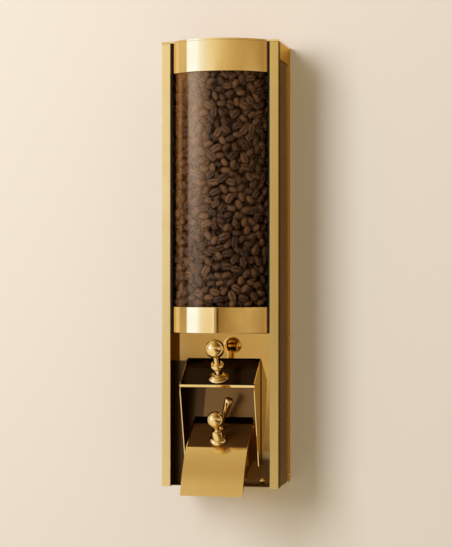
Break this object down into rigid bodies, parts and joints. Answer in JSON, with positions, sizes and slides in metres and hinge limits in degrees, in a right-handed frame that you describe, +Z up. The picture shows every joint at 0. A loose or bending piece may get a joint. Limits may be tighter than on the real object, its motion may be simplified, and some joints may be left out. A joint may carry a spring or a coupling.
{
  "type": "gravity bulk food bin",
  "caption": "Wall-hung polished brass gravity bin for coffee beans with a bowed window, a sloping shut-off slide, a ball-knobbed pouring flap over a curved lip and a hinged fill lid.",
  "frame": {"origin": "centre of the four wall holes, on the wall face of the back tray", "axes": "+X to the right as seen from the front, +Y into the wall, +Z up"},
  "size_m": [0.1356, 0.1355, 0.5044],
  "materials": {
    "satin_brass": "satin",
    "polished_brass": "polished",
    "bronze_lacquer": "gloss",
    "dark_liner": "satin",
    "clear_pane": "polished",
    "seal": "matt",
    "plated_steel": "polished"
  },
  "bodies": {
    "casing": {"back_tray": "satin_brass", "left_post": "satin_brass", "right_post": "satin_brass", "left_stile": "satin_brass", "right_stile": "satin_brass", "left_top_rail": "satin_brass", "right_top_rail": "satin_brass", "outlet_tray": "satin_brass", "bottom_plate": "satin_brass", "lid_hinge_rail": "satin_brass", "frame_hinge_leaf": "satin_brass", "lid_hinge_pin": "satin_brass", "front_shelf": "satin_brass", "drop_chute": "satin_brass", "left_slide_guide": "satin_brass", "right_slide_guide": "satin_brass", "upper_band": "polished_brass", "lower_band": "polished_brass", "front_panel": "polished_brass", "left_hood_cheek": "polished_brass", "right_hood_cheek": "polished_brass", "flap_pin": "polished_brass", "left_side_panel": "bronze_lacquer", "right_side_panel": "bronze_lacquer", "hopper_liner": "dark_liner", "hopper_funnel": "dark_liner", "window_pane": "clear_pane", "left_window_seal": "seal", "right_window_seal": "seal", "side_screws": "plated_steel", "panel_screws": "plated_steel"},
    "shut_off_slide": {"slide_plate": "polished_brass", "slide_knob": "polished_brass", "slide_knob_base": "polished_brass", "slide_knob_screw": "plated_steel"},
    "pouring_flap": {"flap_plate": "polished_brass", "flap_knob": "polished_brass", "flap_knob_rosette": "polished_brass", "flap_knob_screw": "plated_steel", "flap_lever": "polished_brass", "flap_lever_boss": "polished_brass"},
    "lid": {"fill_lid": "polished_brass", "lid_hinge_leaf": "satin_brass", "lid_rivets": "polished_brass"}
  },
  "joints": [
    {"name": "slide_travel", "type": "slide", "parent": "casing", "child": "shut_off_slide", "axis": [0, -0.8368, -0.5476], "range_m": [0, 0.034]},
    {"name": "flap_hinge", "type": "hinge", "parent": "casing", "child": "pouring_flap", "pos_m": [0, -0.0685, -0.18096], "axis": [-1, 0, 0], "range_deg": [0, 40]},
    {"name": "lid_hinge", "type": "hinge", "parent": "casing", "child": "lid", "pos_m": [0, -0.005, 0.2502], "axis": [-1, 0, 0], "range_deg": [0, 90]}
  ]
}
